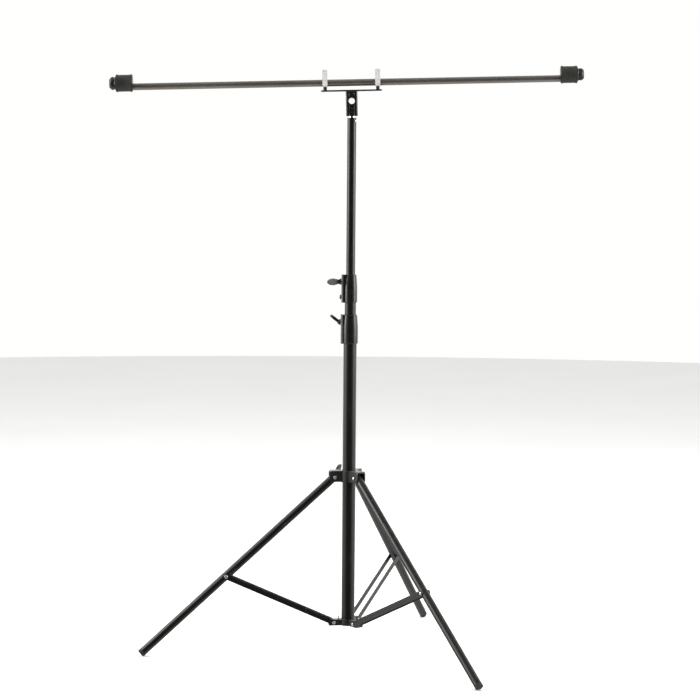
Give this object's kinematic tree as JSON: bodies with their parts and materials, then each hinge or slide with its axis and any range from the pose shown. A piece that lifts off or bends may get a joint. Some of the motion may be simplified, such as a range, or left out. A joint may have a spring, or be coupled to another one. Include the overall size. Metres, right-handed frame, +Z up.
{
  "type": "backdrop T stand",
  "caption": "Folding tripod stand with a telescoping column and a T head, whose spring clips carry a crossbar with expanding rubber end plugs.",
  "frame": {"origin": "the point on the column's axis at floor level", "axes": "+Z up the column, +X along the crossbar towards its higher end, -Y towards the drilled front of the T head"},
  "size_m": [1.2456, 0.9658, 1.5683],
  "materials": {
    "brass": "turned brass, satin",
    "casting": "moulded glass-filled nylon, fine matt texture",
    "clip_steel": "bright zinc-plated strip",
    "column_paint": "satin black powder coat, slightly orange-peeled",
    "crossbar_paint": "semi-gloss brown-black lacquer",
    "foot_rubber": "matt black rubber",
    "head_casting": "black coated block, edges worn lighter",
    "knob_plastic": "moulded charcoal plastic, satin",
    "leg_paint": "satin black powder coat, slightly orange-peeled",
    "plastic": "moulded black plastic, satin",
    "polished_steel": "polished",
    "rivet_steel": "zinc-plated, domed",
    "screw_black": "black oxide",
    "sleeve_rubber": "matt charcoal rubber"
  },
  "bodies": {
    "base": {"bottom_tube": "column_paint", "column_end_cap": "plastic", "lower_collar": "casting", "lower_collar_screw": "rivet_steel", "lower_collar_stud": "screw_black", "lower_clamp": "casting", "lower_clamp_fixing_screw": "screw_black", "lower_clamp_pad": "brass", "strut_pivot_rivet_back": "rivet_steel", "strut_pivot_rivet_left": "rivet_steel", "strut_pivot_rivet_right": "rivet_steel"},
    "lower_wing": {"lower_clamp_wing_screw": "plastic"},
    "middle_section": {"middle_tube": "column_paint", "middle_tube_bush": "plastic", "upper_clamp": "casting", "upper_clamp_fixing_screw": "screw_black", "upper_clamp_pad": "brass"},
    "upper_wing": {"upper_clamp_wing_screw": "plastic"},
    "top_section": {"top_tube": "column_paint", "top_tube_bush": "plastic", "spigot": "polished_steel", "spigot_rivet": "rivet_steel"},
    "head": {"head_socket": "head_casting", "head_plate": "head_casting", "spacer_left": "plastic", "bar_clip_left": "clip_steel", "clip_rivet_left": "rivet_steel", "spacer_right": "plastic", "bar_clip_right": "clip_steel", "clip_rivet_right": "rivet_steel"},
    "head_lock": {"head_lock_screw": "plastic"},
    "crossbar": {"crossbar_tube": "crossbar_paint", "rubber_sleeve_left": "sleeve_rubber", "plug_flange_left": "knob_plastic", "plug_core_left": "plastic", "rubber_sleeve_right": "sleeve_rubber", "plug_flange_right": "knob_plastic", "plug_core_right": "plastic"},
    "knob_left": {"plug_knob_left": "knob_plastic"},
    "knob_right": {"plug_knob_right": "knob_plastic"},
    "yoke": {"yoke": "casting", "leg_pivot_rivet_back": "rivet_steel", "leg_pivot_rivet_left": "rivet_steel", "leg_pivot_rivet_right": "rivet_steel"},
    "yoke_wing": {"yoke_wing_screw": "plastic"},
    "leg_back": {"leg_tube_back": "leg_paint", "leg_foot_back": "foot_rubber", "strut_pin_back": "rivet_steel"},
    "strut_back": {"strut_strip_back_a": "leg_paint", "strut_strip_back_b": "leg_paint"},
    "leg_left": {"leg_tube_left": "leg_paint", "leg_foot_left": "foot_rubber", "strut_pin_left": "rivet_steel"},
    "strut_left": {"strut_strip_left_a": "leg_paint", "strut_strip_left_b": "leg_paint"},
    "leg_right": {"leg_tube_right": "leg_paint", "leg_foot_right": "foot_rubber", "strut_pin_right": "rivet_steel"},
    "strut_right": {"strut_strip_right_a": "leg_paint", "strut_strip_right_b": "leg_paint"}
  },
  "joints": [
    {"name": "yoke_slide", "type": "slide", "parent": "base", "child": "yoke", "axis": [0, 0, 1], "range_m": [0, 0.31492]},
    {"name": "leg_back_fold", "type": "hinge", "parent": "yoke", "child": "leg_back", "pos_m": [0.01536, 0.03585, 0.47541], "axis": [-0.9191, 0.3939, 0], "range_deg": [0, 47.6]},
    {"name": "leg_left_fold", "type": "hinge", "parent": "yoke", "child": "leg_left", "pos_m": [-0.03873, -0.00462, 0.47541], "axis": [0.1184, -0.993, 0], "range_deg": [0, 47.6]},
    {"name": "leg_right_fold", "type": "hinge", "parent": "yoke", "child": "leg_right", "pos_m": [0.02336, -0.03123, 0.47541], "axis": [0.8007, 0.599, 0], "range_deg": [0, 47.6]},
    {"name": "strut_back_fold", "type": "hinge", "parent": "base", "child": "strut_back", "pos_m": [0.01536, 0.03585, 0.0845], "axis": [-0.9191, 0.3939, 0], "range_deg": [-66.13, 0]},
    {"name": "strut_left_fold", "type": "hinge", "parent": "base", "child": "strut_left", "pos_m": [-0.03873, -0.00462, 0.0845], "axis": [0.1184, -0.993, 0], "range_deg": [-66.13, 0]},
    {"name": "strut_right_fold", "type": "hinge", "parent": "base", "child": "strut_right", "pos_m": [0.02336, -0.03123, 0.0845], "axis": [0.8007, 0.599, 0], "range_deg": [-66.13, 0]},
    {"name": "middle_slide", "type": "slide", "parent": "base", "child": "middle_section", "axis": [0, 0, 1], "range_m": [-0.031, 0.6]},
    {"name": "top_slide", "type": "slide", "parent": "middle_section", "child": "top_section", "axis": [0, 0, 1], "range_m": [-0.395, 0.245]},
    {"name": "head_swivel", "type": "hinge", "parent": "top_section", "child": "head", "pos_m": [0, 0, 1.431], "axis": [0, 0, 1], "continuous": true},
    {"name": "crossbar_slide", "type": "slide", "parent": "head", "child": "crossbar", "axis": [0.9996, 0, 0.0274], "range_m": [-0.465, 0.485]},
    {"name": "knob_left_turn", "type": "hinge", "parent": "crossbar", "child": "knob_left", "pos_m": [-0.62596, 0, 1.51137], "axis": [-0.9996, 0, -0.0274], "continuous": true},
    {"name": "knob_right_turn", "type": "hinge", "parent": "crossbar", "child": "knob_right", "pos_m": [0.59638, 0, 1.54488], "axis": [0.9996, 0, 0.0274], "continuous": true},
    {"name": "lower_wing_turn", "type": "hinge", "parent": "base", "child": "lower_wing", "pos_m": [-0.025, 0, 0.888], "axis": [-1, 0, 0], "continuous": true},
    {"name": "upper_wing_turn", "type": "hinge", "parent": "middle_section", "child": "upper_wing", "pos_m": [-0.024, 0, 0.995], "axis": [-1, 0, 0], "continuous": true},
    {"name": "yoke_wing_turn", "type": "hinge", "parent": "yoke", "child": "yoke_wing", "pos_m": [-0.03358, 0.02352, 0.47541], "axis": [-0.8192, 0.5736, 0], "range_deg": [-90, 170]},
    {"name": "head_lock_turn", "type": "hinge", "parent": "head", "child": "head_lock", "pos_m": [-0.00003, 0.0155, 1.446], "axis": [0, 1, 0], "continuous": true}
  ],
  "couplings": [
    {"joint": "leg_back_fold", "follows": "yoke_slide", "rad_per_m": 2.638},
    {"joint": "leg_left_fold", "follows": "yoke_slide", "rad_per_m": 2.638},
    {"joint": "leg_right_fold", "follows": "yoke_slide", "rad_per_m": 2.638},
    {"joint": "strut_back_fold", "follows": "yoke_slide", "rad_per_m": -3.665},
    {"joint": "strut_left_fold", "follows": "yoke_slide", "rad_per_m": -3.665},
    {"joint": "strut_right_fold", "follows": "yoke_slide", "rad_per_m": -3.665}
  ]
}
